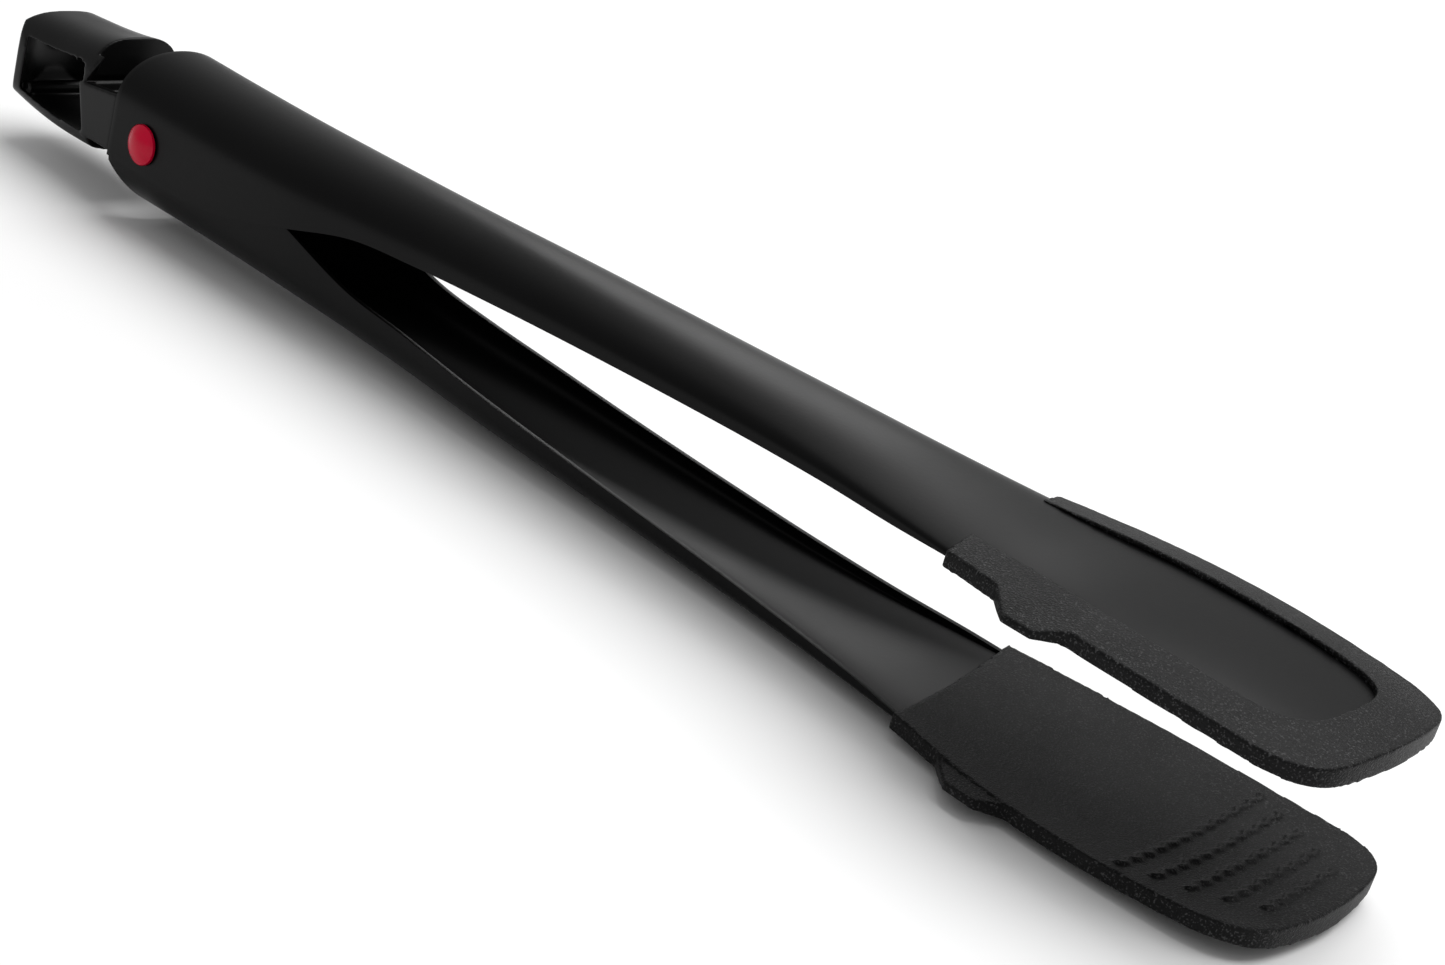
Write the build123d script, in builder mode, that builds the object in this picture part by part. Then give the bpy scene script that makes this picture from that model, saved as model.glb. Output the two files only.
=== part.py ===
from build123d import *
import math
import os

# All sizes in mm. The origin is the centre of the hanging eye, +X runs to the tips, +Z is up,
# and stations along the arms are distances from the hinge pin.
pin_x = 35.0
sheet = 1.0

# hinge stack, from the arms' flanges inward
hinge_half_width = 13.9
nest_gap = 0.25
lower_inset = sheet + nest_gap
washer_outer = hinge_half_width - lower_inset - sheet
washer_length = 0.9
washer_inner = washer_outer - washer_length
cheek_gap = 0.3
cheek_wall = 2.0
cheek_outer = washer_inner - cheek_gap
cheek_inner = cheek_outer - cheek_wall
bush_gap = 1.45
bush_half_length = cheek_inner - bush_gap

# pin and what turns or slides on it
pin_radius = 2.5
running_gap = 0.05
cap_lip = 1.5
cap_radius = pin_radius + cap_lip
cap_height = 1.5
cap_rim = 0.35
cap_gap = 0.3
washer_width = 2.5
washer_radius = pin_radius + washer_width
bush_wall = 0.95
bush_radius = pin_radius + running_gap + bush_wall

# The tables are for arms that end at table_end. Between stretch_from and stretch_to the arms
# take up another arm_end, and the hinge end and the heads keep their shapes.
arm_end = 264.0
table_end = 264.0
stretch_from = 43.0
stretch_to = 176.0

# arms: (distance from pin, half width, shoulder height, crest height)
arm_stations = [
    (-10.5, hinge_half_width, 5.3, 15.3),
    (7, hinge_half_width, 5.3, 15.1),
    (25, hinge_half_width, 5.4, 15.1),
    (43, hinge_half_width - 0.2, 6.0, 15.4),
    (60, hinge_half_width - 0.9, 7.3, 15.8),
    (78, hinge_half_width - 1.45, 8.6, 16.3),
    (98, 12.8, 10.0, 16.8),
    (118, 13.2, 11.2, 17.1),
    (138, 13.7, 12.2, 17.3),
    (158, 14.4, 13.1, 17.4),
    (176, 15.6, 13.7, 17.1),
    (192, 17.4, 14.0, 16.6),
    (207, 19.2, 14.2, 16.4),
    (225, 19.7, 14.9, 16.8),
    (245, 19.5, 14.6, 16.6),
    (264, 18.0, 13.8, 15.4),
]
arch_power = 2.15
lower_rear_end = -11.5
narrow_until = 52
narrow_gone = 100
arm_end_width = 43.4
arm_end_radius = 9

# free edge of the flanges: (distance from pin, height)
upper_edge_rear = -6.0
lower_edge_rear = -4.4
flange_edge = [
    (28, -4.0), (43, 0.2), (60, 5.0), (76, 6.6), (102, 8.6), (127, 10.1), (153, 11.4),
    (174, 12.3), (191, 12.9), (203, 13.7), (214, 14.2), (228, 14.5), (250, 14.1), (272, 12.9),
]

# heads: (distance from pin, edge height of the gripping face, hollow depth at its middle)
pad_stations = [
    (188, 11.4, 1.8),
    (208, 12.5, 1.8),
    (225, 13.25, 1.7),
    (242, 13.1, 1.5),
    (259, 12.1, 1.2),
    (274, 10.5, 1.0),
]
pad_half_chord = 24.0
slab_half_width = 31.0
rim_edge_height = 2.6
rim_middle_height = 4.9
head_near_side = [(203, 20.4), (214, 22.5), (228, 24.2), (243, 24.5), (256, 23.7), (263.5, 22.2)]
head_tip = [(268, 18.6), (270.1, 12)]
head_length = 271.0
head_far_rear = (197, 19.3)
nub_outline = [(211, -20), (213.6, -22.3), (217.2, -26.2), (219.4, -28.3), (224.8, -28.4), (228.3, -24.2), (226, -20)]
nub_inner_height = 13.5
window_side = [(180, 11.2), (197, 12.2), (210, 13.6), (225, 15.0), (240, 15.4), (251, 14.9), (257, 13.6), (260.3, 11.0)]
window_end = [(261.8, 6.5), (262.3, 0)]
ridge_first = 246.5
ridge_pitch = 4.64
ridge_half_lengths = [21.4, 19.1, 17.0, 14.2, 10.8]
ridge_waves = [12, 11, 10, 8, 6]
ridge_swing = 0.4
ridge_width = 0.75
ridge_height = 0.5

# hang loop and lock slider: (distance from pin, narrower than the neck by, top height, bottom depth)
neck_gap = 0.25
neck_half_width = washer_outer - neck_gap
loop_stations = [
    (-56.0, 0.4, 10.2, 6.8),
    (-49.0, 0.4, 10.6, 7.5),
    (-42.0, 0.3, 11.1, 8.7),
    (-35.0, 0.2, 11.7, 9.4),
    (-28.0, 0, 12.6, 9.5),
    (-23.0, 0, 13.5, 9.4),
    (-18.0, 0, 14.6, 9.3),
]
loop_top_power = 3.0
loop_bottom_power = 6.0
loop_wall = 2.2
loop_rear_plan = [
    (-44, neck_half_width + 1.6), (-48.6, neck_half_width - 1.2), (-51.2, neck_half_width - 5.4), (-52.2, 0)]
loop_rear_side = [(-40, 17), (-47.2, 11.2), (-51.0, 5.6), (-52.3, -0.5), (-51.0, -5.8), (-47.4, -9.4), (-40, -13)]
eye_bar = (-44.8, -4.9, 1.4)
hood_front = [(-27.0, 2.6), (-20.6, 11.6), (-22.6, 16.0)]
hood_rim = 2.3
hood_web = 1.7
neck_wall = 2.0
neck_rear = -24.9
neck_slant = 3.6
lower_rear_trim = [(-11.5, -7.6), (-6.5, -16.5)]
neck_front = -13.2
neck_top = (3.6, 5.3)
neck_bottom = -6.7
rib_x = -20.4
rib_width = 1.2
slide_travel = 5.5
slot_gap = 0.35
slot_end_gap = 0.2
slot_rail = 1.75
slot_front_rail = 2.15
slot_half_width = pin_radius + slot_gap
cheek_half_height = slot_half_width + slot_rail
cheek_front = slot_half_width + slot_end_gap + slot_front_rail
cheek_corner = 2.6

# torsion spring
wire_radius = 0.7
coil_gap = 0.2
coil_radius = bush_radius + coil_gap + wire_radius
coil_half_length = bush_half_length - 2 * wire_radius
whole_turns = 5
leg_tilt = 12.0
leg_length = 40.0


def along(x):
    share = min(max((x - stretch_from) / (stretch_to - stretch_from), 0), 1)
    return pin_x + x + (arm_end - table_end) * share


def arch(half, shoulder, crest):
    rise = crest - shoulder
    outline = []
    for step in range(-8, 9):
        share = math.sin(math.radians(90 * step / 8))
        drop = (1 - abs(share) ** arch_power) ** (1 / arch_power)
        outline.append((half * share, shoulder + rise * drop))
    return outline


def arm_section(x, half, shoulder, crest, side):
    rounded = [(y, side * z) for y, z in arch(half, shoulder, crest)]
    base = side * -12
    with BuildSketch(Plane.YZ.offset(along(x))) as section:
        with BuildLine():
            Spline(*rounded)
            Polyline(rounded[-1], (half, base), (-half, base), rounded[0])
        make_face()
    return section.sketch


def narrowing(x):
    if x <= narrow_until:
        return lower_inset
    if x >= narrow_gone:
        return 0
    share = (x - narrow_until) / (narrow_gone - narrow_until)
    return lower_inset * (1 - share * share * (3 - 2 * share))


def arm_sections(side, inner, inset):
    sections = []
    for x, half, shoulder, crest in arm_stations:
        if x < 0 and side < 0:
            x = lower_rear_end
        if x < 0 and inner:
            x = x - 2
        if x >= table_end and inner:
            x = x + 2
        if inset:
            half = half - narrowing(x)
        if inner:
            half = half - sheet
            crest = crest - sheet
        sections.append(arm_section(x, half, shoulder, crest, side))
    return sections


def edge_cut(side, rear_height):
    with BuildSketch(Plane.XZ) as profile:
        with BuildLine():
            curve = [(along(x), side * z) for x, z in flange_edge]
            start = (pin_x + 14, side * rear_height)
            Spline(start, *curve, tangents=((1, 0), (1, side * -0.08)))
            Polyline(
                curve[-1], (curve[-1][0] + 20, curve[-1][1]), (curve[-1][0] + 28, side * -40),
                (pin_x - 40, side * -40), (pin_x - 40, side * rear_height), start)
        make_face()
    return profile.sketch


def pad_section(x, edge, hollow, side, lift, top):
    spread = (slab_half_width / pad_half_chord) ** 2
    low_edge = edge + hollow * (1 - spread) - lift
    low_middle = edge + hollow - lift
    crown = rim_middle_height - rim_edge_height
    high_edge = edge + rim_edge_height + crown * (1 - spread)
    high_middle = edge + rim_middle_height
    if not top:
        high_edge = low_edge + 1.1
        high_middle = low_middle + 1.1
    wide = slab_half_width
    with BuildSketch(Plane.YZ.offset(along(x))) as section:
        with BuildLine():
            ThreePointArc((-wide, side * low_edge), (0, side * low_middle), (wide, side * low_edge))
            Line((wide, side * low_edge), (wide, side * high_edge))
            ThreePointArc((wide, side * high_edge), (0, side * high_middle), (-wide, side * high_edge))
            Line((-wide, side * high_edge), (-wide, side * low_edge))
        make_face()
    return section.sketch


def head_outline():
    near = [(along(x), -y) for x, y in head_near_side]
    tip_near = [(along(x), -y) for x, y in head_tip]
    tip_far = [(along(x), y) for x, y in reversed(head_tip)]
    far = [(along(x), y) for x, y in reversed(head_near_side[1:])]
    rear_far = (along(head_far_rear[0]), head_far_rear[1])
    with BuildSketch() as outline:
        with BuildLine():
            Spline(*near, *tip_near, (along(head_length), 0), *tip_far, *far, rear_far)
            Line(rear_far, near[0])
        make_face()
    return outline.sketch


def nub_face():
    with BuildSketch() as outline:
        with BuildLine():
            Polyline(*[(along(x), y) for x, y in nub_outline], close=True)
        make_face()
    return outline.sketch


def window_face():
    near = [(along(x), -y) for x, y in window_side + window_end]
    far = [(along(x), y) for x, y in reversed(window_side + window_end[:-1])]
    with BuildSketch() as outline:
        with BuildLine():
            Spline(*near, *far)
            Line(far[-1], near[0])
        make_face()
    return outline.sketch


def ridge_face(row):
    middle = along(ridge_first) + ridge_pitch * row
    half = ridge_half_lengths[row]
    count = 2 * ridge_waves[row]
    front = []
    back = []
    for step in range(count + 1):
        y = -half + 2 * half * step / count
        swing = ridge_swing if step % 2 else -ridge_swing
        front.append((middle + swing + ridge_width / 2, y))
        back.append((middle + swing - ridge_width / 2, y))
    with BuildSketch() as outline:
        with BuildLine():
            Polyline(*front, *reversed(back), close=True)
        make_face()
    return outline.sketch


def head(side, arm_inner, arm_outer):
    with BuildPart() as slab:
        loft(sections=[pad_section(x, edge, hollow, side, 0, True) for x, edge, hollow in pad_stations])
    with BuildPart() as ridge_layer:
        loft(sections=[pad_section(x, edge, hollow, side, ridge_height, False) for x, edge, hollow in pad_stations])
    with BuildPart() as plan:
        extrude(head_outline(), amount=30 * side)
        extrude(nub_face(), amount=30 * side)
    with BuildPart() as nub_relief:
        extrude(nub_face(), amount=nub_inner_height * side)
        extrude(head_outline(), amount=30 * side, mode=Mode.SUBTRACT)
    with BuildPart() as window:
        extrude(window_face(), amount=30 * side)
        add(arm_inner, mode=Mode.SUBTRACT)
    with BuildPart() as ridges:
        for row in range(len(ridge_waves)):
            extrude(ridge_face(row), amount=30 * side)
        add(ridge_layer.part, mode=Mode.INTERSECT)
    with BuildPart() as result:
        add(slab.part)
        add(plan.part, mode=Mode.INTERSECT)
        add(nub_relief.part, mode=Mode.SUBTRACT)
        add(arm_outer, mode=Mode.SUBTRACT)
        add(window.part, mode=Mode.SUBTRACT)
        add(ridges.part)
    return result.part


def loop_section(x, narrower, top, bottom, inward=0, across=0):
    half = neck_half_width - narrower + across
    top = top - inward
    bottom = bottom - inward
    outline = []
    for step in range(40):
        turn = 2 * math.pi * step / 40
        out = math.cos(turn)
        up = math.sin(turn)
        power = loop_top_power if up > 0 else loop_bottom_power
        reach = top if up > 0 else bottom
        y = half * math.copysign(abs(out) ** (2 / power), out)
        outline.append((y, reach * math.copysign(abs(up) ** (2 / power), up)))
    with BuildSketch(Plane.YZ.offset(pin_x + x)) as section:
        with BuildLine():
            Spline(*outline, periodic=True)
        make_face()
    return section.sketch


def rear_plan(inward, front):
    near = [(pin_x + x + inward, -y) for x, y in loop_rear_plan]
    far = [(x, -y) for x, y in reversed(near[:-1])]
    with BuildSketch() as outline:
        with BuildLine():
            Spline(*near, *far)
            Polyline(far[-1], (pin_x + front, far[-1][1]), (pin_x + front, near[0][1]), near[0])
        make_face()
    return outline.sketch


def neck_line(x, z):
    # the wall between eye and neck leans forward towards the bottom
    share = (neck_top[0] - z) / (neck_top[0] - neck_bottom)
    return pin_x + x + neck_slant * share, z


def rear_side(inward, front, slanted):
    rear = [(pin_x + x + inward, z) for x, z in loop_rear_side]
    low = (pin_x + front, rear[-1][1])
    high = (pin_x + front, rear[0][1])
    if slanted:
        low = neck_line(front, rear[-1][1])
        high = neck_line(front, rear[0][1])
    with BuildSketch(Plane.XZ) as outline:
        with BuildLine():
            Spline(*rear)
            Polyline(rear[-1], low, high, rear[0])
        make_face()
    return outline.sketch


def domed_cap(side):
    face_y = side * (hinge_half_width + cap_gap)
    dome_radius = (cap_radius ** 2 + cap_height ** 2) / (2 * cap_height)
    with BuildSketch(Plane.XY) as profile:
        with BuildLine():
            Line((pin_x, face_y), (pin_x + cap_radius, face_y))
            low = (pin_x + cap_radius, face_y + side * cap_rim)
            high = (pin_x, face_y + side * (cap_rim + cap_height))
            Line((pin_x + cap_radius, face_y), low)
            RadiusArc(low, high, side * -dome_radius)
            Line(high, (pin_x, face_y))
        make_face()
    return profile.sketch


hinge_axis = Axis((pin_x, 0, 0), (0, 1, 0))
across_pin = Plane.XZ
trim_length = arm_end + 56

# the arms: pressed sheet channels, the lower one nested inside the upper one at the hinge
with BuildPart() as upper_outer:
    loft(sections=arm_sections(1, False, False))

with BuildPart() as upper_inner:
    loft(sections=arm_sections(1, True, False))

with BuildPart() as upper_arm:
    add(upper_outer.part)
    add(upper_inner.part, mode=Mode.SUBTRACT)
    extrude(edge_cut(1, upper_edge_rear), amount=40, both=True, mode=Mode.SUBTRACT)
    with BuildSketch():
        with Locations((pin_x + arm_end - trim_length / 2, 0)):
            RectangleRounded(trim_length, arm_end_width, arm_end_radius)
    extrude(amount=40, both=True, mode=Mode.INTERSECT)
    with BuildSketch(across_pin):
        with Locations((pin_x, 0)):
            Circle(pin_radius + running_gap)
    extrude(amount=40, both=True, mode=Mode.SUBTRACT)

with BuildPart() as lower_outer:
    loft(sections=arm_sections(-1, False, True))

with BuildPart() as lower_inner:
    loft(sections=arm_sections(-1, True, True))

with BuildPart() as lower_arm:
    add(lower_outer.part)
    add(lower_inner.part, mode=Mode.SUBTRACT)
    extrude(edge_cut(-1, lower_edge_rear), amount=40, both=True, mode=Mode.SUBTRACT)
    with BuildSketch():
        with Locations((pin_x + arm_end - trim_length / 2, 0)):
            RectangleRounded(trim_length, arm_end_width, arm_end_radius)
    extrude(amount=40, both=True, mode=Mode.INTERSECT)
    with BuildSketch(across_pin):
        with Locations((pin_x, 0)):
            Circle(pin_radius)
    extrude(amount=40, both=True, mode=Mode.SUBTRACT)
    with BuildSketch(across_pin):
        with BuildLine():
            trim = [(pin_x + x, z) for x, z in lower_rear_trim]
            Polyline(*trim, (trim[0][0] - 3, trim[1][1]), (trim[0][0] - 3, trim[0][1]), close=True)
        make_face()
    extrude(amount=40, both=True, mode=Mode.SUBTRACT)

# the heads: moulded round the ends of the arms, with an open window on the outside
with BuildPart() as upper_head:
    add(head(1, upper_inner.part, upper_arm.part))

with BuildPart() as lower_head:
    add(head(-1, lower_inner.part, lower_arm.part))

# the hinge: pin, domed caps, sleeve and washers
pin_half_length = hinge_half_width + cap_gap

with BuildPart() as hinge_pin:
    with BuildSketch(across_pin):
        with Locations((pin_x, 0)):
            Circle(pin_radius)
    extrude(amount=pin_half_length, both=True)

with BuildPart() as rivet_cap_near:
    add(domed_cap(-1))
    revolve(axis=hinge_axis)

with BuildPart() as rivet_cap_far:
    add(domed_cap(1))
    revolve(axis=hinge_axis)

with BuildPart() as spring_bush:
    with BuildSketch(across_pin):
        with Locations((pin_x, 0)):
            Circle(bush_radius)
            Circle(pin_radius + running_gap, mode=Mode.SUBTRACT)
    extrude(amount=bush_half_length, both=True)

with BuildPart() as side_washer_near:
    with BuildSketch(across_pin.offset(washer_inner)):
        with Locations((pin_x, 0)):
            Circle(washer_radius)
            Circle(pin_radius + running_gap, mode=Mode.SUBTRACT)
    extrude(amount=washer_length)

with BuildPart() as side_washer_far:
    with BuildSketch(across_pin.offset(-washer_outer)):
        with Locations((pin_x, 0)):
            Circle(washer_radius)
            Circle(pin_radius + running_gap, mode=Mode.SUBTRACT)
    extrude(amount=washer_length)

# the torsion spring: a coil round the sleeve and one straight leg under each arm's web
tilt = math.radians(leg_tilt)
coil_turns = whole_turns + 0.5 - 2 * leg_tilt / 360
coil_plane = Plane(
    origin=(pin_x, -coil_half_length, 0),
    x_dir=(-math.sin(tilt), 0, -math.cos(tilt)),
    z_dir=(0, 1, 0))

coil = coil_plane * Helix(2 * coil_half_length / coil_turns, 2 * coil_half_length, coil_radius)

with BuildPart() as torsion_spring:
    with BuildSketch(Plane(origin=coil @ 0, z_dir=coil % 0)):
        Circle(wire_radius)
    sweep(path=coil, is_frenet=True)
    for end, side in ((0, -1), (1, 1)):
        with BuildSketch(Plane(origin=coil @ end, z_dir=(math.cos(tilt), 0, side * math.sin(tilt)))):
            Circle(wire_radius)
        extrude(amount=leg_length)

# the hang loop, its hood, the hollow neck and the slotted cheeks of the lock, in one moulding
with BuildPart() as eye:
    loft(sections=[loop_section(*station, inward=loop_wall, across=0.6) for station in loop_stations])
    extrude(rear_plan(loop_wall + 0.4, neck_rear + 2 * neck_slant), amount=40, both=True, mode=Mode.INTERSECT)
    extrude(rear_side(loop_wall + 0.4, neck_rear, True), amount=40, both=True, mode=Mode.INTERSECT)

with BuildPart() as hood_recess:
    loft(sections=[loop_section(*station, inward=hood_rim, across=-hood_rim) for station in loop_stations])
    with BuildSketch(across_pin):
        with BuildLine():
            Polyline(
                (pin_x + neck_rear + hood_web, neck_top[0]), (pin_x, neck_top[0]), (pin_x, 20),
                (pin_x + neck_rear + hood_web - 0.8, 20), close=True)
        make_face()
    extrude(amount=40, both=True, mode=Mode.INTERSECT)

with BuildPart() as pull_loop:
    loft(sections=[loop_section(*station) for station in loop_stations])
    extrude(rear_plan(0, 0), amount=40, both=True, mode=Mode.INTERSECT)
    extrude(rear_side(0, 0, False), amount=40, both=True, mode=Mode.INTERSECT)
    add(eye.part, mode=Mode.SUBTRACT)
    with BuildSketch(across_pin):
        with Locations((pin_x + eye_bar[0], eye_bar[1])):
            Circle(eye_bar[2])
    extrude(amount=neck_half_width - 1.8, both=True)
    with BuildSketch(across_pin):
        with BuildLine():
            Polyline(
                neck_line(neck_rear, -20), neck_line(neck_rear, neck_top[0] - 1), (pin_x + hood_front[0][0] + 2.1, 2.6),
                *[(pin_x + x, z) for x, z in hood_front[1:]], (pin_x + 10, 20), (pin_x + 10, -20), close=True)
        make_face()
    extrude(amount=40, both=True, mode=Mode.SUBTRACT)
    add(hood_recess.part, mode=Mode.SUBTRACT)
    with BuildSketch(across_pin):
        with BuildLine():
            Polyline(
                neck_line(neck_rear - 1.5, neck_bottom), (pin_x + neck_front, neck_bottom),
                (pin_x + neck_front, neck_top[1]), neck_line(neck_rear - 1.5, neck_top[0]), close=True)
        make_face()
    extrude(amount=neck_half_width, both=True)
    with BuildSketch(across_pin):
        with BuildLine():
            Polyline(
                neck_line(neck_rear + 1.4, neck_bottom + neck_wall),
                (pin_x + neck_front - 0.01, neck_bottom + neck_wall),
                (pin_x + neck_front - 0.01, 20), (pin_x + neck_rear + 1.4, 20),
                neck_line(neck_rear + 1.4, neck_top[0]), close=True)
        make_face()
    extrude(amount=neck_half_width - neck_wall, both=True, mode=Mode.SUBTRACT)
    with BuildSketch(across_pin):
        with Locations((pin_x + rib_x, (neck_bottom + neck_top[0]) / 2)):
            Rectangle(rib_width, neck_top[0] - neck_bottom)
    extrude(amount=neck_half_width - neck_wall / 2, both=True)
    for side in (-1, 1):
        with BuildSketch(across_pin.offset(side * (cheek_inner + cheek_outer) / 2)):
            with BuildLine():
                Polyline(
                    (pin_x + neck_front - 2, -cheek_half_height), (pin_x + 0.6, -cheek_half_height),
                    (pin_x + cheek_front, cheek_corner - cheek_half_height),
                    (pin_x + cheek_front, cheek_half_height - cheek_corner),
                    (pin_x + 0.6, cheek_half_height), (pin_x + neck_front - 2, cheek_half_height), close=True)
            make_face()
            with Locations((pin_x - slide_travel / 2, 0)):
                SlotCenterToCenter(slide_travel + 2 * slot_end_gap, 2 * slot_half_width, mode=Mode.SUBTRACT)
        extrude(amount=cheek_wall / 2, both=True)

pieces = {
    "upper_arm": upper_arm, "lower_arm": lower_arm, "upper_head": upper_head, "lower_head": lower_head,
    "hinge_pin": hinge_pin, "rivet_cap_near": rivet_cap_near, "rivet_cap_far": rivet_cap_far,
    "spring_bush": spring_bush, "side_washer_near": side_washer_near, "side_washer_far": side_washer_far,
    "torsion_spring": torsion_spring, "pull_loop": pull_loop,
}

os.makedirs("parts", exist_ok=True)
for label, piece in pieces.items():
    piece.part.label = label
    export_step(piece.part, "parts/" + label + ".step")
    box = piece.part.bounding_box()
    print(label, len(piece.part.solids()), round(piece.part.volume, 1), box.min, box.max)
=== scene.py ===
import math
import bpy
from mathutils import Matrix, Vector


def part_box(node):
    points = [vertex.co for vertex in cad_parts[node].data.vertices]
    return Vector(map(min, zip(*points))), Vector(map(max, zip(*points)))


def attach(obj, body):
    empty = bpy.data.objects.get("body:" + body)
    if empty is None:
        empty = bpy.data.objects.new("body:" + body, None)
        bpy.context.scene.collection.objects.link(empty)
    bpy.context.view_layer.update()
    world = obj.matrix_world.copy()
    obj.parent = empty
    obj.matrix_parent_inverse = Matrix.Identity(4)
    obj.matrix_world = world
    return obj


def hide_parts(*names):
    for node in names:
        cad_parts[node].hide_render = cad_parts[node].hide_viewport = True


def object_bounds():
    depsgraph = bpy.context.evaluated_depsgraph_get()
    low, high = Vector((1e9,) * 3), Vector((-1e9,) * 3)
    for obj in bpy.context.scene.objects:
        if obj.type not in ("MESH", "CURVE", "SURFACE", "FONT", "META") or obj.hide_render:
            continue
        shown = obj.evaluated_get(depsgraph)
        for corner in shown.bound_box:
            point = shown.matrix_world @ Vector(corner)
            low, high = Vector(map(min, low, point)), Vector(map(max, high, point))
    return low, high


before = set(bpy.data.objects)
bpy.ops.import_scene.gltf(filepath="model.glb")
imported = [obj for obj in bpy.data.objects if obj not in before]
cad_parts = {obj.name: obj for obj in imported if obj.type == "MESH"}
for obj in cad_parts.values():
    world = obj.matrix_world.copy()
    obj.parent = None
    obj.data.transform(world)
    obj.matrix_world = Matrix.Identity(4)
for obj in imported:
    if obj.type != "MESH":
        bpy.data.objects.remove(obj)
cadLow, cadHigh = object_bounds()
mm = 0.001


def deselectAll():
    if bpy.context.object and bpy.context.object.mode != "OBJECT":
        bpy.ops.object.mode_set(mode="OBJECT")
    bpy.ops.object.select_all(action="DESELECT")


def pick(piece):
    deselectAll()
    piece.select_set(True)
    bpy.context.view_layer.objects.active = piece


def addModifier(piece, kind, **settings):
    pick(piece)
    modifier = piece.modifiers.new(kind.title(), kind)
    for key, value in settings.items():
        setattr(modifier, key, value)
    bpy.ops.object.modifier_apply(modifier=modifier.name)


def placeInMesh(piece):
    pick(piece)
    bpy.ops.object.transform_apply(location=True, rotation=True, scale=True)


def smoothCurve(table, x, column):
    # value between stations, on a cubic through them
    rows = sorted(table)
    if x <= rows[0][0]:
        return rows[0][column]
    if x >= rows[-1][0]:
        return rows[-1][column]
    index = max(i for i, row in enumerate(rows) if row[0] <= x)
    index = min(index, len(rows) - 2)

    def slope(i):
        before, after = max(i - 1, 0), min(i + 1, len(rows) - 1)
        return (rows[after][column] - rows[before][column]) / (rows[after][0] - rows[before][0])

    low, high = rows[index], rows[index + 1]
    span = high[0] - low[0]
    t = (x - low[0]) / span
    a = 2 * t ** 3 - 3 * t ** 2 + 1
    b = t ** 3 - 2 * t ** 2 + t
    c = -2 * t ** 3 + 3 * t ** 2
    d = t ** 3 - t ** 2
    return a * low[column] + b * span * slope(index) + c * high[column] + d * span * slope(index + 1)


class Value:
    # one shader socket, with plain arithmetic
    def __init__(self, tree, socket):
        self.tree = tree
        self.socket = socket

    def join(self, operation, other, swapped=False):
        node = self.tree.nodes.new("ShaderNodeMath")
        node.operation = operation
        first, second = (other, self) if swapped else (self, other)
        for slot, item in ((0, first), (1, second)):
            if isinstance(item, Value):
                self.tree.links.new(item.socket, node.inputs[slot])
            else:
                node.inputs[slot].default_value = item
        return Value(self.tree, node.outputs[0])

    def __add__(self, other):
        return self.join("ADD", other)

    __radd__ = __add__

    def __sub__(self, other):
        return self.join("SUBTRACT", other)

    def __rsub__(self, other):
        return self.join("SUBTRACT", other, swapped=True)

    def __mul__(self, other):
        return self.join("MULTIPLY", other)

    __rmul__ = __mul__

    def clamp(self):
        return self.join("MAXIMUM", 0.0).join("MINIMUM", 1.0)

    def above(self, edge, width):
        return ((self - edge) * (1 / width)).clamp()


class Finish:
    # a material and the few nodes that it is built from
    def __init__(self, name):
        self.material = bpy.data.materials.new(name)
        self.material.use_nodes = True
        self.tree = self.material.node_tree
        self.shader = self.tree.nodes["Principled BSDF"]
        self.place = self.node("ShaderNodeTexCoord").outputs["Object"]

    def node(self, kind, settings=(), **inputs):
        made = self.tree.nodes.new(kind)
        for key, value in dict(settings).items():
            setattr(made, key, value)
        for key, value in inputs.items():
            self.put(made.inputs[key.replace("_", " ")], value)
        return made

    def put(self, socket, value):
        if isinstance(value, Value):
            self.tree.links.new(value.socket, socket)
        elif isinstance(value, bpy.types.NodeSocket):
            self.tree.links.new(value, socket)
        else:
            socket.default_value = value

    def noise(self, size, detail=2.0, roughness=0.5, stretch=(1, 1, 1)):
        # size is the grain in mm
        mapping = self.node("ShaderNodeMapping", Vector=self.place, Scale=stretch)
        made = self.node(
            "ShaderNodeTexNoise", Vector=mapping.outputs[0], Scale=1 / (size * mm), Detail=detail, Roughness=roughness)
        return Value(self.tree, made.outputs["Fac"])

    def grains(self, size):
        made = self.node("ShaderNodeTexVoronoi", Vector=self.place, Scale=1 / (size * mm))
        return Value(self.tree, made.outputs["Distance"])

    def blendColours(self, share, low, high):
        made = self.node("ShaderNodeMix", {"data_type": "RGBA"})
        self.put(made.inputs[0], share)
        made.inputs[6].default_value = (*low, 1)
        made.inputs[7].default_value = (*high, 1)
        return made.outputs[2]

    def bump(self, height, depth):
        made = self.node("ShaderNodeBump", Height=height, Distance=depth * mm)
        self.put(self.shader.inputs["Normal"], made.outputs[0])

    def set(self, **inputs):
        for key, value in inputs.items():
            self.put(self.shader.inputs[key.replace("_", " ")], value)


armLook = {
    "low": (0.0016, 0.0016, 0.0017), "high": (0.0026, 0.0026, 0.0027), "roughness": 0.27, "shine": 0.09,
    "cloud": 14, "peel": 0.9, "dust": 0.22, "depth": 0.008}
headLook = {
    "low": (0.0025, 0.0025, 0.0026), "high": (0.060, 0.060, 0.061), "roughness": 0.40, "shine": 0.08,
    "cloud": 9, "grain": 0.42, "fineShare": 0.8, "speckFrom": 0.58, "speckWidth": 0.12, "depth": 0.10}
loopLook = {
    "low": (0.0022, 0.0022, 0.0023), "high": (0.0036, 0.0036, 0.0037), "roughness": 0.24, "shine": 0.16,
    "cloud": 6, "fine": 0.5, "depth": 0.006}
capLook = {
    "low": (0.46, 0.0, 0.022), "high": (0.56, 0.0, 0.030), "roughness": 0.22, "shine": 0.16,
    "coat": 0.05, "cloud": 2.2, "fine": 0.3, "depth": 0.003}
steelLook = {"streak": 0.4, "roughness": 0.28, "depth": 0.004}
innerLook = {"low": (0.58, 0.57, 0.53), "high": (0.70, 0.69, 0.65), "roughness": 0.45, "cloud": 3, "depth": 0.01}


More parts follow.
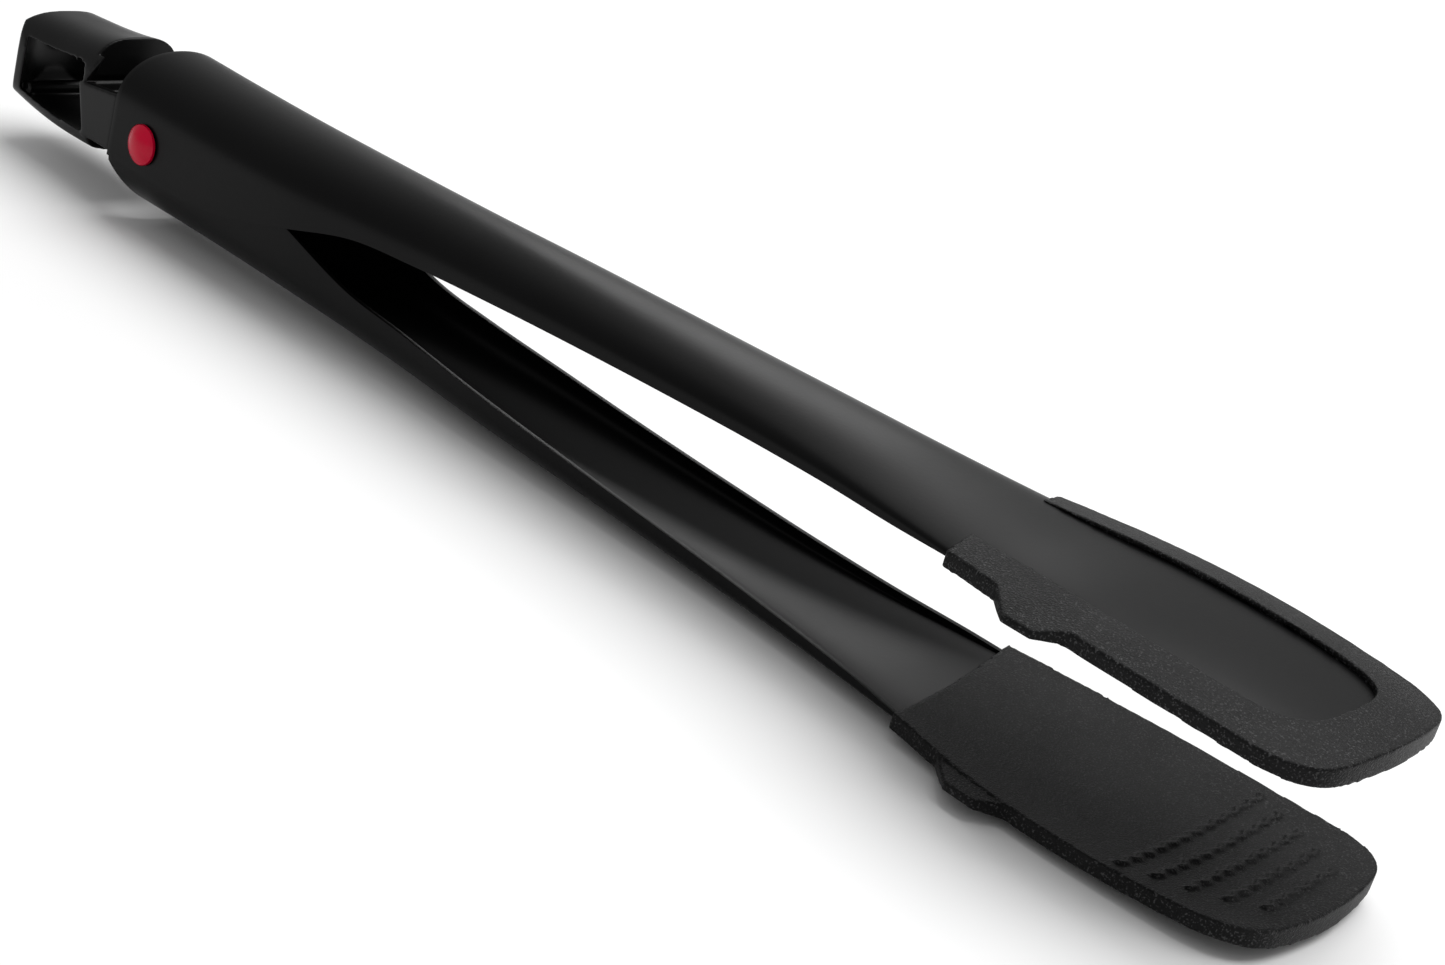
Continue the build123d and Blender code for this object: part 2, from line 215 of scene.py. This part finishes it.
def makeArmPaint():
    look = armLook
    f = Finish("satinBlackPaint")
    cloud = f.noise(look["cloud"], 3)
    peel = f.noise(look["peel"], 2)
    dust = f.noise(look["dust"], 1)
    f.set(Base_Color=f.blendColours(cloud, look["low"], look["high"]))
    f.set(Roughness=look["roughness"] + 0.06 * cloud + 0.05 * dust)
    f.set(Specular_IOR_Level=look["shine"])
    f.bump(peel + 0.35 * dust, look["depth"])
    return f.material


def makeHeadNylon():
    look = headLook
    f = Finish("sparkErodedNylon")
    grain = f.grains(look["grain"])
    fine = f.noise(look["grain"] * look["fineShare"], 1, 0.5)
    cloud = f.noise(look["cloud"], 2)
    speck = fine.above(look["speckFrom"], look["speckWidth"])
    f.set(Base_Color=f.blendColours(speck * 0.8 + 0.15 * cloud, look["low"], look["high"]))
    f.set(Roughness=look["roughness"] + 0.14 * fine - 0.05 * cloud)
    f.set(Specular_IOR_Level=look["shine"])
    f.bump(0.6 * grain + fine, look["depth"])
    return f.material


def makeLoopPlastic():
    look = loopLook
    f = Finish("smoothBlackPlastic")
    cloud = f.noise(look["cloud"], 3)
    fine = f.noise(look["fine"], 2)
    f.set(Base_Color=f.blendColours(cloud, look["low"], look["high"]))
    f.set(Roughness=look["roughness"] + 0.08 * cloud + 0.03 * fine)
    f.set(Specular_IOR_Level=look["shine"])
    f.bump(fine + 2 * cloud, look["depth"])
    return f.material


def makeCapRed():
    look = capLook
    f = Finish("glossRedCap")
    cloud = f.noise(look["cloud"], 2)
    fine = f.noise(look["fine"], 2)
    f.set(Base_Color=f.blendColours(cloud, look["low"], look["high"]))
    f.set(Roughness=look["roughness"] + 0.06 * fine)
    f.set(Coat_Weight=look["coat"], Specular_IOR_Level=look["shine"])
    f.bump(fine, look["depth"])
    return f.material


def makeSteel(name, tone, stretch):
    look = steelLook
    f = Finish(name)
    lines = f.noise(look["streak"], 3, 0.6, stretch)
    f.set(Base_Color=f.blendColours(lines, (tone * 0.8,) * 3, (tone,) * 3), Metallic=1.0)
    f.set(Roughness=look["roughness"] + 0.14 * lines)
    f.bump(lines, look["depth"])
    return f.material


def makeInnerPlastic():
    look = innerLook
    f = Finish("naturalWhitePlastic")
    cloud = f.noise(look["cloud"], 3)
    f.set(Base_Color=f.blendColours(cloud, look["low"], look["high"]))
    f.set(Roughness=look["roughness"] + 0.1 * cloud)
    f.bump(cloud, look["depth"])
    return f.material


armPaint = makeArmPaint()
headNylon = makeHeadNylon()
loopPlastic = makeLoopPlastic()
capRed = makeCapRed()
pinSteel = makeSteel("turnedSteel", 0.62, (1, 0.2, 1))
springSteel = makeSteel("springWire", 0.5, (0.3, 1, 0.3))
innerPlastic = makeInnerPlastic()
print("materials made")


def coat(piece, material):
    piece.data.materials.clear()
    piece.data.materials.append(material)


# the arms are thin pressed channels, shaped from a flat grid and given their thickness
armShape = {
    "pinX": 35.0,
    "sheet": 1.0,
    "archPower": 2.15,
    "end": 264.0,
    "endWidth": 21.7,
    "endRadius": 9.0,
    "stations": [
        (-10.5, 13.9, 5.3, 15.3), (7, 13.9, 5.3, 15.1), (25, 13.9, 5.4, 15.1), (43, 13.7, 6.0, 15.4),
        (60, 13.0, 7.3, 15.8), (78, 12.45, 8.6, 16.3), (98, 12.8, 10.0, 16.8), (118, 13.2, 11.2, 17.1),
        (138, 13.7, 12.2, 17.3), (158, 14.4, 13.1, 17.4), (176, 15.6, 13.7, 17.1), (192, 17.4, 14.0, 16.6),
        (207, 19.2, 14.2, 16.4), (225, 19.7, 14.9, 16.8), (245, 19.5, 14.6, 16.6), (264, 18.0, 13.8, 15.4),
    ],
    "edgeStart": 14,
    "edge": [
        (28, -4.0), (43, 0.2), (60, 5.0), (76, 6.6), (102, 8.6), (127, 10.1), (153, 11.4),
        (174, 12.3), (191, 12.9), (203, 13.7), (214, 14.2), (228, 14.5), (250, 14.1), (272, 12.9),
    ],
    "narrowUntil": 52,
    "narrowGone": 100,
    "rearTrim": [(-11.5, -7.6), (-6.5, -16.5)],
    "edgeRound": 0.22,
    "flangeRows": 10,
    "archRows": 44,
    "lengthRows": 230,
}


def narrowing(x, inset):
    # the lower arm is narrower where it nests in the upper one
    share = (x - armShape["narrowUntil"]) / (armShape["narrowGone"] - armShape["narrowUntil"])
    share = min(max(share, 0), 1)
    return inset * (1 - share * share * (3 - 2 * share))


def flangeEdge(x, rearHeight):
    return smoothCurve([(armShape["edgeStart"], rearHeight)] + armShape["edge"], x, 1)


def sheetPoint(x, across, side, inset, rearHeight):
    # across runs from -1 at the near edge to 1 at the far edge, with the web between
    s = armShape
    half = smoothCurve(s["stations"], x, 1) - narrowing(x, inset)
    shoulder = smoothCurve(s["stations"], x, 2)
    crest = smoothCurve(s["stations"], x, 3)
    past = x - (s["end"] - s["endRadius"])
    if past > 0:
        corner = s["endWidth"] - s["endRadius"] + math.sqrt(max(s["endRadius"] ** 2 - past ** 2, 0))
        half = min(half, corner)
    edge = min(flangeEdge(x, rearHeight), shoulder - 0.15)
    flangeShare = s["flangeRows"] / (s["flangeRows"] + s["archRows"] / 2)
    reach = abs(across)
    sign = 1 if across >= 0 else -1
    if reach > 1 - flangeShare:
        drop = (reach - (1 - flangeShare)) / flangeShare
        return x, sign * half, side * (shoulder + (edge - shoulder) * drop)
    turn = math.sin(math.radians(90 * reach / (1 - flangeShare)))
    rise = max(1 - turn ** s["archPower"], 0) ** (1 / s["archPower"])
    return x, sign * half * turn, side * (shoulder + (crest - shoulder) * rise)


def makeArm(name, node, body, side, inset, start, rearHeight):
    s = armShape
    rows = 2 * s["flangeRows"] + s["archRows"]
    deselectAll()
    bpy.ops.mesh.primitive_grid_add(
        x_subdivisions=s["lengthRows"], y_subdivisions=rows, size=2, location=(0, 0, 0))
    arm = bpy.context.object
    arm.name = name
    length = s["end"] - start
    for vertex in arm.data.vertices:
        x = start + length * (vertex.co.x + 1) / 2
        px, py, pz = sheetPoint(x, vertex.co.y, side, inset, rearHeight)
        vertex.co = Vector(((px + s["pinX"]) * mm, py * mm, pz * mm))
    pick(arm)
    if side < 0:  # turned outside in by the mirrored heights, and its rear corner is cut off
        (x0, z0), (x1, z1) = s["rearTrim"]
        bpy.ops.object.mode_set(mode="EDIT")
        bpy.ops.mesh.select_all(action="SELECT")
        bpy.ops.mesh.flip_normals()
        bpy.ops.mesh.bisect(
            plane_co=((x0 + s["pinX"]) * mm, 0, z0 * mm), plane_no=(z1 - z0, 0, x0 - x1), clear_outer=True)
        bpy.ops.object.mode_set(mode="OBJECT")
    addModifier(arm, "SOLIDIFY", thickness=s["sheet"] * mm, offset=-1.0, use_even_offset=True)
    addModifier(
        arm, "BEVEL", width=s["edgeRound"] * mm, segments=3, limit_method="ANGLE", angle_limit=math.radians(60))
    pick(arm)
    bpy.ops.object.shade_smooth_by_angle(angle=math.radians(50))
    coat(arm, armPaint)
    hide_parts(node)
    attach(arm, body)


makeArm("upper_arm_sheet", "upper_arm", "upper_arm", side=1, inset=0, start=-10.5, rearHeight=-6.0)
makeArm("lower_arm_sheet", "lower_arm", "lower_arm", side=-1, inset=1.25, start=-11.5, rearHeight=-4.4)
print("arms made")


# the heads and the loop keep their CAD shape and get soft moulded edges
mergeWithin = 0.002  # mm, for vertices in one place
mouldings = {
    "upper_head": {
        "body": "upper_arm", "grid": 0.32, "smoothing": 2, "slot": "head_nylon", "material": headNylon},
    "lower_head": {
        "body": "lower_arm", "grid": 0.32, "smoothing": 2, "slot": "head_nylon", "material": headNylon},
    "pull_loop": {
        "body": "pull_loop", "grid": 0.28, "smoothing": 14, "slot": "loop_plastic", "material": loopPlastic},
}


def makeMoulding(node, settings):
    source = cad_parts[node]
    piece = bpy.data.objects.new(node + "_moulding", source.data.copy())
    bpy.context.scene.collection.objects.link(piece)
    pick(piece)
    bpy.ops.object.mode_set(mode="EDIT")
    bpy.ops.mesh.select_all(action="SELECT")
    bpy.ops.mesh.remove_doubles(threshold=mergeWithin * mm)
    bpy.ops.object.mode_set(mode="OBJECT")
    addModifier(piece, "REMESH", mode="VOXEL", voxel_size=settings["grid"] * mm)
    addModifier(piece, "SMOOTH", factor=0.5, iterations=settings["smoothing"])
    pick(piece)
    bpy.ops.object.shade_smooth()
    coat(piece, settings["material"])
    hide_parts(node)
    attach(piece, settings["body"])
    print(piece.name, len(piece.data.polygons), "faces")


for node, settings in mouldings.items():
    makeMoulding(node, settings)
print("mouldings made")


# a rivet cap is a low dome on a short rim
capShape = {"radius": 4.0, "height": 1.5, "rim": 0.35, "bevel": 0.12}


def makeCap(node, side):
    low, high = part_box(node)
    c = capShape
    domeRadius = (c["radius"] ** 2 + c["height"] ** 2) / (2 * c["height"])
    faceY = high[1] if side < 0 else low[1]
    topY = low[1] if side < 0 else high[1]
    middleX = (low[0] + high[0]) / 2
    centreY = topY - side * domeRadius * mm
    rimY = faceY + side * c["rim"] * mm
    deselectAll()
    bpy.ops.mesh.primitive_uv_sphere_add(
        segments=72, ring_count=120, radius=domeRadius * mm, location=(middleX, centreY, 0),
        rotation=(math.radians(90), 0, 0))
    cap = bpy.context.object
    cap.name = node + "_dome"
    placeInMesh(cap)
    bpy.ops.object.mode_set(mode="EDIT")
    bpy.ops.mesh.select_all(action="SELECT")
    bpy.ops.mesh.bisect(
        plane_co=(middleX, rimY, 0), plane_no=(0, side, 0), clear_inner=True, use_fill=False)
    bpy.ops.mesh.extrude_region_move(TRANSFORM_OT_translate={"value": (0, faceY - rimY, 0)})
    bpy.ops.mesh.edge_face_add()
    bpy.ops.mesh.select_all(action="SELECT")
    bpy.ops.mesh.remove_doubles(threshold=mergeWithin * mm)
    bpy.ops.mesh.normals_make_consistent(inside=False)
    bpy.ops.object.mode_set(mode="OBJECT")
    addModifier(
        cap, "BEVEL", width=c["bevel"] * mm, segments=3, limit_method="ANGLE", angle_limit=math.radians(25))
    pick(cap)
    bpy.ops.object.shade_smooth_by_angle(angle=math.radians(40))
    coat(cap, capRed)
    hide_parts(node)
    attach(cap, "lower_arm")


makeCap("rivet_cap_near", -1)
makeCap("rivet_cap_far", 1)
print("caps made")

for node, material in (
        ("hinge_pin", pinSteel), ("torsion_spring", springSteel), ("spring_bush", innerPlastic),
        ("side_washer_near", innerPlastic), ("side_washer_far", innerPlastic)):
    coat(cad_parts[node], material)


# floor, light and camera
floorLook = {"low": (0.90, 0.90, 0.90), "high": (0.93, 0.93, 0.93), "size": 9, "gap": 0.0001}


def makeFloor():
    f = Finish("paleFloor")
    cloud = f.noise(120, 2)
    f.set(Base_Color=f.blendColours(cloud, floorLook["low"], floorLook["high"]), Roughness=0.6 + 0.05 * cloud)
    deselectAll()
    bpy.ops.mesh.primitive_plane_add(
        size=floorLook["size"], location=(0.15, 0, cadLow[2] - floorLook["gap"]))
    floor = bpy.context.object
    floor.name = "floor"
    coat(floor, f.material)


makeFloor()


def softBox(name, place, target, size, power):
    light = bpy.data.lights.new(name, "AREA")
    light.shape = "RECTANGLE"
    light.size, light.size_y = size
    light.energy = power
    lamp = bpy.data.objects.new(name, light)
    bpy.context.scene.collection.objects.link(lamp)
    lamp.location = place
    lamp.rotation_mode = "QUATERNION"
    lamp.rotation_quaternion = (Vector(target) - Vector(place)).to_track_quat("-Z", "Y")


aim = (0.16, 0.0, 0.0)
softBox("overheadBox", (0.30, 0.50, 1.15), aim, (1.5, 1.2), 19)
softBox("backBox", (-0.75, 1.25, 0.62), aim, (0.5, 0.25), 1.4)  # the streak along the upper arm's crest

bpy.context.scene.view_settings.view_transform = "Standard"
world = bpy.data.worlds.new("studio")
bpy.context.scene.world = world
world.use_nodes = True
background = world.node_tree.nodes["Background"]
background.inputs["Color"].default_value = (1, 1, 1, 1)
background.inputs["Strength"].default_value = 0.42

cameraView = {
    "place": (0.411, -0.32265, 0.15831),
    "right": (0.72166, 0.64341, 0.25539),
    "up": (-0.43693, 0.13721, 0.88897),
    "back": (0.53693, -0.75312, 0.38015),
    "lens": 63.1,
}


def makeCamera():
    data = bpy.data.cameras.new("camera")
    data.sensor_width = 36
    data.lens = cameraView["lens"]
    data.clip_start, data.clip_end = 0.01, 50
    camera = bpy.data.objects.new("camera", data)
    bpy.context.scene.collection.objects.link(camera)
    turn = Matrix((cameraView["right"], cameraView["up"], cameraView["back"])).transposed().to_4x4()
    camera.matrix_world = Matrix.Translation(cameraView["place"]) @ turn
    bpy.context.scene.camera = camera


makeCamera()
print("stage made")
